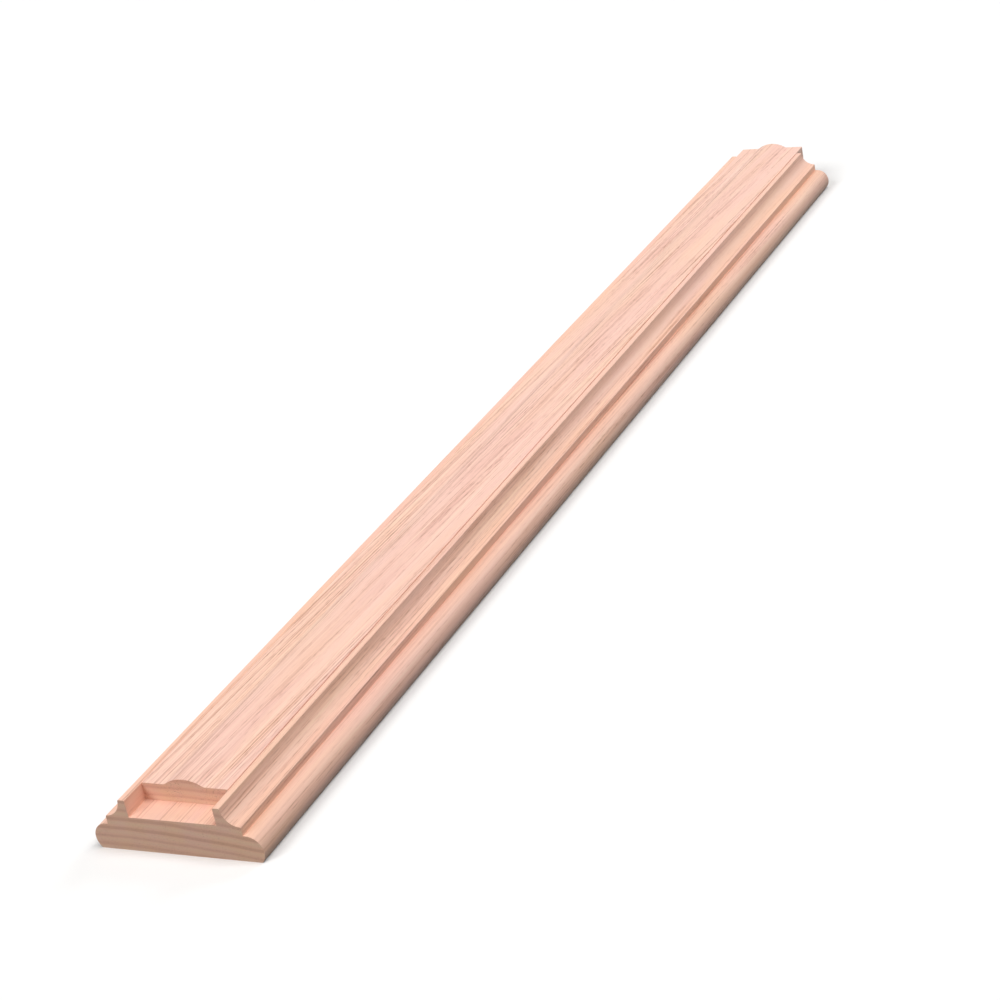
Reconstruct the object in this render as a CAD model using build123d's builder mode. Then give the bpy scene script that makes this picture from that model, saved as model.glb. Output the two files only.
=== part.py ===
from build123d import *
from math import isclose
import os

# Shoe rail with its fillet strip, milled from unfinished red oak.
#
# The rail is fixed flat along the open edge of a landing, and the square feet of the
# balusters stand in the plow along its top. The fillet strip is cut into short lengths that
# fill the plow from one baluster to the next. Here it is still whole: it lies loose in the
# plow, against the wall on the +Y side, and is slid a little way towards the +X end.
#
# The origin is the middle of the rail's underside. X runs along the rail, Y across it and
# Z up. Lengths are in millimetres. Both sections are symmetric, so only the half on one side
# of the middle is drawn, and the other half is its mirror image.

# Rail. It is milled to inch sizes, which the comments give.
rail_length = 609.6  # 24 in
rail_width = 63.5  # 2 1/2 in over the two noses, at their widest
rail_height = 19.05  # 3/4 in
nose_radius = 5.55625  # 7/32 in, the upper quarter of each nose
nose_tuck = 1.5875  # 1/16 in, from the widest point of a nose in to the underside's corner
riser_height = 3.175  # 1/8 in, the small square step between the nose and the cove
cove_radius = 6.35  # 1/4 in
lip_thickness = 2.54  # 0.1 in at the top, between the cove and the plow
plow_width = 33.02  # 1.3 in, takes the foot of a 1 1/4 in baluster
plow_depth = 6.35  # 1/4 in

# Fillet strip
strip_clearance = 0.396875  # 1/64 in, how much wider the plow is than the strip
strip_slide = 10.6  # how far the strip is slid along the plow
crown_width = 15.875  # 5/8 in
crown_rise = 2.38125  # 3/32 in above the flat margins
crown_blend_radius = 1.5875  # 1/16 in, hollow where the crown runs out into a margin

# Both pieces: sharp milled corners are taken off by this radius
edge_ease = 0.4

# Levels and half widths of the rail's section
step_level = rail_height - cove_radius
nose_level = step_level - riser_height
nose_widest_level = nose_level - nose_radius
plow_floor_level = rail_height - plow_depth
rail_half = rail_width / 2
underside_half = rail_half - nose_tuck
nose_flat_half = rail_half - nose_radius
plow_half = plow_width / 2
lip_half = plow_half + lip_thickness
step_half = lip_half + cove_radius

with BuildPart() as shoe_rail:
    with BuildSketch(Plane.YZ.offset(-rail_length / 2)) as rail_section:
        with BuildLine():
            underside = Line((0, 0), (underside_half, 0))
            nose_widest = (rail_half, nose_widest_level)
            TangentArc(nose_widest, underside @ 1, tangent=(0, -1))
            nose_top = TangentArc(nose_widest, (nose_flat_half, nose_level), tangent=(0, 1))
            nose_flat = Line(nose_top @ 1, (step_half, nose_level))
            riser = Line(nose_flat @ 1, (step_half, step_level))
            cove_top = (lip_half, rail_height)
            TangentArc(cove_top, riser @ 1, tangent=(0, -1))
            lip_top = Line(cove_top, (plow_half, rail_height))
            plow_wall = Line(lip_top @ 1, (plow_half, plow_floor_level))
            Line(plow_wall @ 1, (0, plow_floor_level))
            mirror(about=Plane.YZ)
        make_face()
        lip_corners = rail_section.vertices().group_by(Axis.Y)[-1]
        step_corners = rail_section.vertices().filter_by(
            lambda corner: isclose(abs(corner.X), step_half) and isclose(corner.Y, step_level)
        )
        fillet(lip_corners + step_corners, radius=edge_ease)
    extrude(amount=rail_length)

# The crown's middle is one round arc, and a hollow arc of crown_blend_radius joins it to the
# margin. Two arcs that meet smoothly do so on the straight line from the crown's foot to its
# top, at the hollow arc's share of the two radii.
strip_half = (plow_width - strip_clearance) / 2
crown_half = crown_width / 2
crown_top_level = rail_height + crown_rise
radii_sum = (crown_half**2 / crown_rise + crown_rise) / 2
hollow_share = crown_blend_radius / radii_sum
crown_bend = (crown_half * (1 - hollow_share), rail_height + crown_rise * hollow_share)

# The middle of the strip's near end, on the plane of the rail's underside
strip_place = (strip_slide - rail_length / 2, plow_half - strip_half, 0)

with BuildPart() as fillet_strip:
    with BuildSketch(Plane(strip_place, x_dir=(0, 1, 0), z_dir=(1, 0, 0))) as strip_section:
        with BuildLine():
            seat = Line((0, plow_floor_level), (strip_half, plow_floor_level))
            side = Line(seat @ 1, (strip_half, rail_height))
            margin = Line(side @ 1, (crown_half, rail_height))
            hollow = TangentArc(margin @ 1, crown_bend, tangent=margin % 1)
            TangentArc(hollow @ 1, (0, crown_top_level), tangent=hollow % 1)
            mirror(about=Plane.YZ)
        make_face()
        side_corners = strip_section.vertices().filter_by(
            lambda corner: isclose(abs(corner.X), strip_half)
        )
        fillet(side_corners, radius=edge_ease)
    extrude(amount=rail_length)

shoe_rail.part.label = "shoe_rail"
fillet_strip.part.label = "fillet_strip"

os.makedirs("parts", exist_ok=True)
export_step(shoe_rail.part, "parts/shoe_rail.step")
export_step(fillet_strip.part, "parts/fillet_strip.step")
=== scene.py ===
# %% [markdown]
# A shoe rail in red oak
#
# A shoe rail is the moulding that runs along the open edge of a landing. The square feet of the
# balusters stand in its plow, and a fillet strip closes the plow between them. Both pieces come
# out of a moulder, so every face along them is planed, and only the two ends are sawn.
#
# Their shapes are already exact in the frame, so no piece is modelled here. What is left to do
# is the wood: its growth rings, pores and fibres, which run right through the piece, so that a
# long face shows streaks where the sawn end shows bands and dots.

# %% Load the frame
import math

import bmesh
import bpy
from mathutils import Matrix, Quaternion, Vector


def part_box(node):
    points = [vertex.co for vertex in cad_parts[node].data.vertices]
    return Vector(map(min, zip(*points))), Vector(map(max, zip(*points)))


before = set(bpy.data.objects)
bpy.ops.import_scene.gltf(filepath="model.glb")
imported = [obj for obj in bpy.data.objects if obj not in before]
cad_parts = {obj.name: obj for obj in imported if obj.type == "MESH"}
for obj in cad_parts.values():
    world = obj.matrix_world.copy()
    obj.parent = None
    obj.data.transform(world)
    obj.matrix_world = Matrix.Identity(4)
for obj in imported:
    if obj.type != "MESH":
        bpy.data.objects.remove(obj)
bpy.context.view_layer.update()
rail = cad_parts["shoe_rail"]
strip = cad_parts["fillet_strip"]
mm = 0.001
for piece in (rail, strip):
    low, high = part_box(piece.name)
    size = [round((high[axis] - low[axis]) / mm, 2) for axis in range(3)]
    print(piece.name, "measures", size, "mm")

# %% [markdown]
# The camera
#
# The picture looks along the rail from above one end, with a long lens and the camera tipped a
# little to one side. Such a camera is easiest to place by naming the point it looks at and
# walking back from there, which is how the values below are written.

# %% Camera
aim = Vector((-92.27, -21.99, 19.05)) * mm
camera_azimuth = math.radians(-61.18)
camera_elevation = math.radians(24.32)
camera_roll = math.radians(11.73)
camera_distance = 899.6 * mm


def direction(azimuth, elevation):
    """A unit vector. Azimuth 0 points along -Y and 90 degrees along +X."""
    flat = math.cos(elevation)
    return Vector((math.sin(azimuth) * flat, -math.cos(azimuth) * flat, math.sin(elevation)))


camera_data = bpy.data.cameras.new("camera")
camera_data.lens = 84.85  # mm
camera_data.sensor_width = 36  # mm
camera_data.clip_start = 20 * mm
camera = bpy.data.objects.new("camera", camera_data)
bpy.context.scene.collection.objects.link(camera)
towards_camera = direction(camera_azimuth, camera_elevation)
camera.location = aim + towards_camera * camera_distance
camera.rotation_mode = "QUATERNION"
level = towards_camera.to_track_quat("Z", "Y")
camera.rotation_quaternion = level @ Quaternion((0, 0, 1), -camera_roll)
bpy.context.scene.camera = camera
print("camera at", [round(value / mm) for value in camera.location], "mm")

# %% [markdown]
# Colours and nodes
#
# Colours are written as the hex values that a picture editor shows. A renderer works with linear
# light, so one function converts them. Another adds a node with its settings and links in one
# call, which keeps a long node tree readable, and a third gives a material or a world an empty
# tree to start from.

# %% Colours
def linear(hex_colour):
    """An sRGB hex colour as linear red, green, blue and alpha."""
    channels = [int(hex_colour[place : place + 2], 16) / 255 for place in (1, 3, 5)]
    light = [c / 12.92 if c <= 0.04045 else ((c + 0.055) / 1.055) ** 2.4 for c in channels]
    return (*light, 1.0)


print("middle grey is", round(linear("#808080")[0], 3), "of white's light")


# %% Nodes
def empty_tree(owner):
    """The node tree of a material or a world, with nothing in it yet."""
    owner.use_nodes = True
    owner.node_tree.nodes.clear()
    return owner.node_tree


def add(tree, kind, feeds=None, stops=None, **settings):
    """Adds a node. A feed is a value, a socket, or a node, which gives its first output.
    Sockets go by name, or by number where names repeat, among those that the settings show."""
    node = tree.nodes.new("ShaderNode" + kind)
    for setting, value in settings.items():
        setattr(node, setting, value)
    inputs = [socket for socket in node.inputs if socket.enabled]
    for name, value in (feeds or {}).items():
        place = name if isinstance(name, int) else [s.name for s in inputs].index(name)
        if isinstance(value, bpy.types.Node):
            value = next(socket for socket in value.outputs if socket.enabled)
        if isinstance(value, bpy.types.NodeSocket):
            tree.links.new(value, inputs[place])
        else:
            inputs[place].default_value = value
    if stops:
        ramp = node.color_ramp
        while len(ramp.elements) < len(stops):
            ramp.elements.new(0.5)
        for element, (position, colour) in zip(ramp.elements, stops):
            element.position = position
            element.color = colour
    return node


print("made empty_tree and add")

# %% [markdown]
# Red oak, planed and unfinished
#
# Red oak is a ring-porous wood. Each spring the tree lays down a band of wide open pores, and
# in summer dense, smooth wood. A plane opens the pores lengthwise, so along the grain they are
# fine dark scratches, gathered in rows, while on a sawn end they are dots in bent lines. Bare
# oak has no varnish on it: it scatters light softly, and its pores stay open.
#
# A picture wrapped round the piece would break at every arris. Here the log is modelled
# instead. Each point of the piece has its place in a log, its distance from the pith tells
# which year's wood it is, and noise stretched along the grain gives the rows of pores. The
# years lie almost flat in these pieces, so they show as clear bands on the sawn ends and only
# as faint, wide changes on the planed faces, where the fine lines come to the front. The same
# nodes serve both pieces, which are sawn from different places in the log.

# %% The place in the log
planed_at_most = 0.6  # how squarely along X a face may look and still be planed
sawn_at_least = 0.8  # how squarely along X a sawn end looks


def place_in_log(tree, from_pith, along, turn):
    """Each point's place in the log, in mm, with the grain along X. from_pith is where the
    piece lies across the log, along is how far up the trunk, and turn is how far its length
    is turned from the grain, in degrees about each axis."""
    metres = add(tree, "TexCoord").outputs["Object"]
    place = add(tree, "VectorMath", {"Vector": metres, "Scale": 1 / mm}, operation="SCALE")
    in_log = {
        "Vector": place,
        "Location": (along, *from_pith),
        "Rotation": [math.radians(angle) for angle in turn],
    }
    return add(tree, "Mapping", in_log)


def along_grain(tree, log_point, length, width, **noise):
    """Noise that is stretched along the grain: each spot is length long and width wide, in mm."""
    scale = (1 / length, 1 / width, 1 / width)
    point = add(tree, "VectorMath", {0: log_point, 1: scale}, operation="MULTIPLY")
    return add(tree, "TexNoise", {"Vector": point, "Scale": 1, **noise})


def sawn_ends(tree):
    """1 on the sawn ends, which look along X, and 0 on the planed faces, which look across it."""
    normal = add(tree, "TexCoord").outputs["Normal"]
    along_x = add(tree, "SeparateXYZ", {"Vector": normal}).outputs["X"]
    squarely = add(tree, "Math", {0: along_x}, operation="ABSOLUTE")
    limits = {"From Min": planed_at_most, "From Max": sawn_at_least}
    return add(tree, "MapRange", {"Value": squarely, **limits})


print("made place_in_log, along_grain and sawn_ends")

# %% [markdown]
# Growth rings
#
# A ring is one year of growth: first the dark spring wood with its pores, then ever lighter
# summer wood. A wave texture draws such rings too, but all of them alike, and a tree's years
# aren't. So the distance from the pith is counted in rings, and split into whole years and the
# season within the year. A ramp turns the season into a tone, each year has a strength of its
# own, and slow noise bends the rings and makes some of them wide and some narrow.

# %% The tones of one year
middle = 0.5  # the tone of plain wood, between a light line's 0 and spring wood's 1


def amount(value):
    """A grey that carries an amount through a ramp."""
    return (value, value, value, 1.0)


# The tone at each season, from the start of the year at 0 to its end at 1
year_profile = [
    (0.0, amount(0.45)),
    (0.12, amount(0.95)),
    (0.28, amount(0.9)),
    (0.5, amount(0.45)),
    (0.72, amount(0.1)),
    (0.88, amount(0.1)),
    (1.0, amount(0.45)),
]
print("one year's wood has", len(year_profile), "tones")

# %% Rings
wander_length = 260.0  # mm along the grain, over which the rings wander
wander_width = 30.0  # mm across it
weather_change = 0.45  # per year, how fast good years turn into bad ones
weather_pull = 0.3  # years, by which the weather may shift a ring
faintest_year = 0.6  # the strength of the faintest ring beside that of the strongest


def growth_rings(tree, log_point, ring_width, wander):
    """How dark the wood of each year is, from the distance to the pith."""
    across = add(tree, "VectorMath", {0: log_point, 1: (0, 1, 1)}, operation="MULTIPLY")
    radius = add(tree, "VectorMath", {0: across}, operation="LENGTH")
    bends = along_grain(tree, log_point, wander_length, wander_width, Detail=2)
    shift = add(tree, "MapRange", {"Value": bends, "To Min": -wander, "To Max": wander})
    grown = add(tree, "Math", {0: radius, 1: shift})
    years = add(tree, "Math", {0: grown, 1: ring_width}, operation="DIVIDE")
    change = {"W": years, "Scale": weather_change, "Detail": 1}
    weather = add(tree, "TexNoise", change, noise_dimensions="1D")
    pulled = {0: weather, 1: weather_pull, 2: years}
    count = add(tree, "Math", pulled, operation="MULTIPLY_ADD")
    season = add(tree, "Math", {0: count}, operation="FRACT")
    year = add(tree, "Math", {0: count}, operation="FLOOR")
    luck = add(tree, "TexWhiteNoise", {"W": year}, noise_dimensions="1D")
    strength = add(tree, "MapRange", {"Value": luck, "To Min": faintest_year, "To Max": 1.0})
    profile = add(tree, "ValToRGB", {"Fac": season}, stops=year_profile)
    profile.color_ramp.interpolation = "EASE"
    return add(tree, "Mix", {"Factor": strength, "A": middle, "B": profile})


print("rings wander over", wander_length, "mm of their length")

# %% [markdown]
# Rows of pores
#
# The pores of red oak lie end to end in long vessels, so a planed face shows them as short
# scratches that line up in rows. The rows are crowded in some zones of the wood and few in
# others. Cut into the mesh, they would be a great many tiny grooves. Three noises draw them
# instead, each stretched by real lengths and widths: one for the zones, one for the rows in
# them, and one for the single scratches, which show mostly where a row is dark. On a sawn end
# the rows nearly vanish, and the years take over.

# %% Sizes of the rows and pores
zone_length = 420.0  # mm, a stretch of wood with many rows or few
zone_width = 8.0  # mm
row_length = 85.0  # mm, a row of pores that runs on from one to the next
row_width = 0.75  # mm, from one row to the next
pore_length = 5.0  # mm, as far as a plane opens one
pore_width = 0.34  # mm; the real ones are about 0.25, drawn coarser so that they show
print("pores are drawn", pore_length, "mm long and", pore_width, "mm wide")

# %% Zones and pores
gently = {"interpolation_type": "SMOOTHSTEP"}
few_rows_to_many = {"From Min": 0.36, "From Max": 0.58, "To Min": 0.25}
few_pores_to_many = {"From Min": 0.46, "From Max": 0.64, "To Min": 0.35}
scratch_edge = {"From Min": 0.54, "From Max": 0.68}


def crowded_zones(tree, log_point):
    """1 where the rows are crowded, and less where they are few."""
    zones = along_grain(tree, log_point, zone_length, zone_width, Detail=1)
    return add(tree, "MapRange", {"Value": zones, **few_rows_to_many}, **gently)


def open_pores(tree, log_point, rows, crowded):
    """1 in an open pore and 0 beside it. Most pores lie in dark rows and crowded zones."""
    spots = along_grain(tree, log_point, pore_length, pore_width, Detail=1, Roughness=0.4)
    in_rows = add(tree, "MapRange", {"Value": rows, **few_pores_to_many}, **gently)
    scratch = add(tree, "MapRange", {"Value": spots, **scratch_edge}, **gently)
    crowd = add(tree, "Math", {0: in_rows, 1: crowded}, operation="MULTIPLY")
    return add(tree, "Math", {0: scratch, 1: crowd}, operation="MULTIPLY")


print("rows lie about", row_width, "mm apart")

# %% The tone of the wood
years_on_face = 0.14  # how much of the years' tones a planed face shows
years_on_end = 0.66  # how much of them a sawn end shows
rows_on_end = 0.1  # how much is left of the rows' tones on a sawn end
zone_depth = 0.06  # how much darker the wood is where there are many rows
usual_crowd = 0.7  # how crowded the rows are on the whole


def wood_tone(tree, years, rows, crowded, sawn, row_strength):
    """How dark the wood is, from its years and its rows of pores together."""
    share = {"Value": sawn, "To Min": years_on_face, "To Max": years_on_end}
    year_share = add(tree, "MapRange", share)
    fade = {"Value": sawn, "To Min": row_strength, "To Max": rows_on_end * row_strength}
    fading = add(tree, "MapRange", fade)
    row_share = add(tree, "Math", {0: crowded, 1: fading}, operation="MULTIPLY")
    ground = middle - usual_crowd * row_strength * zone_depth
    shaded = {0: row_share, 1: zone_depth, 2: ground}
    zone = add(tree, "Math", shaded, operation="MULTIPLY_ADD")
    year = add(tree, "Math", {0: years, 1: middle}, operation="SUBTRACT")
    banded = add(tree, "Math", {0: year, 1: year_share, 2: zone}, operation="MULTIPLY_ADD")
    row = add(tree, "Math", {0: rows, 1: middle}, operation="SUBTRACT")
    return add(tree, "Math", {0: row, 1: row_share, 2: banded}, operation="MULTIPLY_ADD")


print("years show", round(years_on_end / years_on_face, 1), "times as much on a sawn end")

# %% [markdown]
# Colour and gloss
#
# Freshly planed red oak is a pale pinkish tan, darker in the spring wood, and it drifts slowly
# between pink and straw. Its pores look brown because they are deep: that brown is painted shade,
# the shade inside the open pores. One ramp over the tone would make every dark place alike, so
# the ramp colours only the solid wood. Thin veils of pink and straw are multiplied over it, and
# the painted shade of the pores is mixed in after them. A sawn end is a little darker and
# yellower than
# a planed face: partly the end grain's own tone, partly painted warm shade. No two boards are
# alike, so the last veil is the piece's own, with one colour for its faces and one for its ends,
# which also carries that painted shade.
#
# Wood is a dielectric with an index of refraction of about 1.53. Planed and left bare it is
# dull, and rougher inside the pores. Its fibres break up much of what gloss there is, so the
# specular level is below the usual 0.5.

# %% Colour of the wood
light_line = linear("#ffdeca")
summer_wood = linear("#f9cdbc")
spring_wood = linear("#cf9d87")
# Painted shade: the brown that stands for the dark inside the deep open pores.
open_pore_shade = linear("#a5715a")
pink_veil = linear("#fefbfd")
straw_veil = linear("#fffdf5")
wood_tones = [(0.0, light_line), (middle, summer_wood), (1.0, spring_wood)]
drift_length = 110.0  # mm, over which the wood turns from pink to straw
drift_width = 8.0  # mm
pink_to_straw = {"From Min": 0.35, "From Max": 0.65}
pore_shade_share = 0.22  # how much of the pores' painted shade shows, for a row strength of 1
colour_mix = {"data_type": "RGBA"}
colour_veil = {"data_type": "RGBA", "blend_type": "MULTIPLY"}


def oak_colour(tree, log_point, tone, pores, own_and_end_shade_veil, row_strength):
    """The colour of the wood: its tone, a drift from pink to straw, painted shade in the pores
    and a veil.
    """
    plain = add(tree, "ValToRGB", {"Fac": tone}, stops=wood_tones)
    patches = along_grain(tree, log_point, drift_length, drift_width, Detail=2)
    drift = add(tree, "MapRange", {"Value": patches, **pink_to_straw})
    veil = add(tree, "Mix", {"Factor": drift, "A": pink_veil, "B": straw_veil}, **colour_mix)
    toned = add(tree, "Mix", {"Factor": 1.0, "A": plain, "B": veil}, **colour_veil)
    # The pores' painted shade is mixed over the wood here.
    brown = {0: pores, 1: pore_shade_share * row_strength}
    shown = add(tree, "Math", brown, operation="MULTIPLY")
    porous = add(tree, "Mix", {"Factor": shown, "A": toned, "B": open_pore_shade}, **colour_mix)
    return add(tree, "Mix", {"Factor": 1.0, "A": porous, "B": own_and_end_shade_veil}, **colour_veil)


print("summer wood is", [round(channel, 3) for channel in summer_wood[:3]])

# %% Red oak
pore_relief = 0.06 * mm  # how deep an open pore is
row_relief = 0.4  # how deep a dark row is beside that
relief_strength = 0.5
planed_roughness = 0.46
pore_roughness = 0.7
gloss = {"IOR": 1.53, "Specular IOR Level": 0.35}


def planed_red_oak(
    name, from_pith, along, turn, ring_width, wander, row_strength, face_veil, end_grain_and_shade_veil
):
    """Red oak from one place in the log. Its rings are ring_width apart and stray from round
    by up to wander, in mm. row_strength is how dark the pores and their rows are beside the
    wood between them. The veils are the piece's own colours on its faces, and on its ends the
    end grain's own tone with painted warm shade."""
    material = bpy.data.materials.new(name)
    tree = empty_tree(material)
    log_point = place_in_log(tree, from_pith, along, turn)
    sawn = sawn_ends(tree)
    years = growth_rings(tree, log_point, ring_width, wander)
    rows = along_grain(tree, log_point, row_length, row_width, Detail=2, Roughness=0.6)
    crowded = crowded_zones(tree, log_point)
    tone = wood_tone(tree, years, rows, crowded, sawn, row_strength)
    pores = open_pores(tree, log_point, rows, crowded)
    # On a sawn end the veil is the end grain's own darker, yellower tone together with painted
    # warm shade.
    by_cut = {"Factor": sawn, "A": linear(face_veil), "B": linear(end_grain_and_shade_veil)}
    own_and_end_shade_veil = add(tree, "Mix", by_cut, **colour_mix)
    colour = oak_colour(tree, log_point, tone, pores, own_and_end_shade_veil, row_strength)

    sunk = add(tree, "Math", {0: rows, 1: row_relief, 2: pores}, operation="MULTIPLY_ADD")
    height = add(tree, "Math", {0: sunk, 1: -1.0}, operation="MULTIPLY")
    relief = {"Height": height, "Distance": pore_relief, "Strength": relief_strength}
    bump = add(tree, "Bump", relief)
    dullness = {"Value": pores, "To Min": planed_roughness, "To Max": pore_roughness}
    roughness = add(tree, "MapRange", dullness)
    wood = {"Base Color": colour, "Roughness": roughness, "Normal": bump}
    shader = add(tree, "BsdfPrincipled", {**wood, **gloss})
    add(tree, "OutputMaterial", {"Surface": shader})
    print(name, "has", len(tree.nodes), "nodes")
    return material


print("open pores are", round(pore_relief / mm, 2), "mm deep")

# %% [markdown]
# The two pieces
#
# One oak on both pieces would look as if they were one board, with the grain running on from
# the strip to the rail. So each is sawn from its own place in the log. The rail's end shows
# gently sloping rings about 3.4 mm apart, and the strip's are about 2.9 mm apart. The strip's
# rows cross its length at a small angle, which is usual in a narrow strip, while the rail's run
# nearly true.

# %% Oak on the rail and the strip
# Each end veil paints warm shade over the end grain's own tone, and the strip's is the darker
# one.
rail_oak = planed_red_oak(
    "red_oak_planed_rail",
    from_pith=(-36, 600),
    along=40,
    turn=(0, 0, 0.5),
    ring_width=3.4,
    wander=1.0,
    row_strength=1.6,
    face_veil="#fffcf8",
    end_grain_and_shade_veil="#fffcf4",
)
strip_oak = planed_red_oak(
    "red_oak_planed_strip",
    from_pith=(7, 400),
    along=900,
    turn=(0, 0, 2.46),
    ring_width=2.9,
    wander=0.7,
    row_strength=2.3,
    face_veil="#ffffff",
    end_grain_and_shade_veil="#f3eee6",
)
rail.material_slots[0].material = rail_oak
strip.material_slots[0].material = strip_oak

# %% [markdown]
# The floor and the world
#
# The floor is a plain white sheet that keeps the rail's soft shadow. A backdrop curved up
# behind it would hide the horizon from one side only, so the world is white instead. To the
# camera the floor is white too, and to light that bounces off it, it is dark grey, as if the
# rail lay on a table in a dim room: otherwise the undersides of the noses would glow. The world
# is split in the same way. For all but the camera it is a dim ceiling, brightest straight above
# and dark at the horizon, so that the noses stay darker at their sides than on top.

# %% Floor
white = linear("#ffffff")
dim_grey = linear("#3c3832")


def studio_floor(height, radius):
    """A round floor, as a mesh of one face."""
    mesh = bpy.data.meshes.new("studio_floor")
    shape = bmesh.new()
    bmesh.ops.create_circle(shape, cap_ends=True, segments=64, radius=radius)
    bmesh.ops.translate(shape, verts=shape.verts, vec=(0, 0, height))
    shape.to_mesh(mesh)
    shape.free()
    floor = bpy.data.objects.new("studio_floor", mesh)
    bpy.context.scene.collection.objects.link(floor)
    return floor


def seen_or_bounced(tree, seen, bounced):
    """One shader for what the camera sees, also in gloss or glass, and one for other light."""
    path = add(tree, "LightPath")
    glossy = {0: path.outputs["Is Camera Ray"], 1: path.outputs["Is Glossy Ray"]}
    looked_at = add(tree, "Math", glossy, operation="MAXIMUM")
    through = {0: looked_at, 1: path.outputs["Is Transmission Ray"]}
    factor = add(tree, "Math", through, operation="MAXIMUM")
    return add(tree, "MixShader", {0: factor, 1: bounced, 2: seen})


floor = studio_floor(height=0.0, radius=6.0)
floor_paint = bpy.data.materials.new("studio_floor_matt_white")
tree = empty_tree(floor_paint)
seen = add(tree, "BsdfDiffuse", {"Color": white})
bounced = add(tree, "BsdfDiffuse", {"Color": dim_grey})
add(tree, "OutputMaterial", {"Surface": seen_or_bounced(tree, seen, bounced)})
floor.data.materials.append(floor_paint)
print("floor at height", floor.data.vertices[0].co.z)

# %% World
ceiling_glow = 0.37  # straight above, where white is 1
ceiling_white = linear("#fffdf9")
world = bpy.data.worlds.new("studio_world")
bpy.context.scene.world = world
tree = empty_tree(world)
seen = add(tree, "Background", {"Color": white, "Strength": 1.0})
skyward = add(tree, "TexCoord").outputs["Generated"]
upwards = add(tree, "SeparateXYZ", {"Vector": skyward}).outputs["Z"]
glow = add(tree, "Math", {0: upwards, 1: ceiling_glow}, operation="MULTIPLY", use_clamp=True)
bounced = add(tree, "Background", {"Color": ceiling_white, "Strength": glow})
add(tree, "OutputWorld", {"Surface": seen_or_bounced(tree, seen, bounced)})
print("the ceiling straight above glows at", ceiling_glow, "of white")

# %% [markdown]
# The lamps
#
# A big soft lamp close to a long rail would light its near end more than its far end. Sun lamps
# light both ends alike, and a wide angle makes them as soft as a big white ceiling. A white
# surface square to a sun lamp shows white when the lamp's strength is pi, so each lamp is given
# by the share of white that it adds.
#
# The key lamp stands to the camera's left, so it lights the near end and leaves the nose on the
# right in shade. The front lamp, on the right, and the one overhead fill the coves. The last
# lamp is low, beyond the far end, and puts a faint sheen on the shoulder of the right nose.

# %% Lamps
def soft_lamp(name, azimuth, elevation, spread, share):
    """A lamp far off in this direction that adds this share of white. Angles are in degrees."""
    data = bpy.data.lights.new(name, "SUN")
    data.angle = math.radians(spread)
    data.energy = share * math.pi
    lamp = bpy.data.objects.new(name, data)
    towards_lamp = direction(math.radians(azimuth), math.radians(elevation))
    lamp.location = towards_lamp
    lamp.rotation_mode = "QUATERNION"
    lamp.rotation_quaternion = towards_lamp.to_track_quat("Z", "Y")
    bpy.context.scene.collection.objects.link(lamp)
    print(name, "adds", share, "of white")


soft_lamp("key_lamp", azimuth=-115, elevation=38, spread=25, share=0.43)
soft_lamp("front_lamp", azimuth=15, elevation=58, spread=25, share=0.18)
soft_lamp("overhead_lamp", azimuth=0, elevation=76, spread=40, share=0.305)
soft_lamp("far_end_lamp", azimuth=63, elevation=30, spread=20, share=0.15)

# %% [markdown]
# View
#
# The standard view shows colours as they are written, where the usual one would soften the
# whites. Nothing has been added to the object.

# %% View
bpy.context.scene.view_settings.view_transform = "Standard"
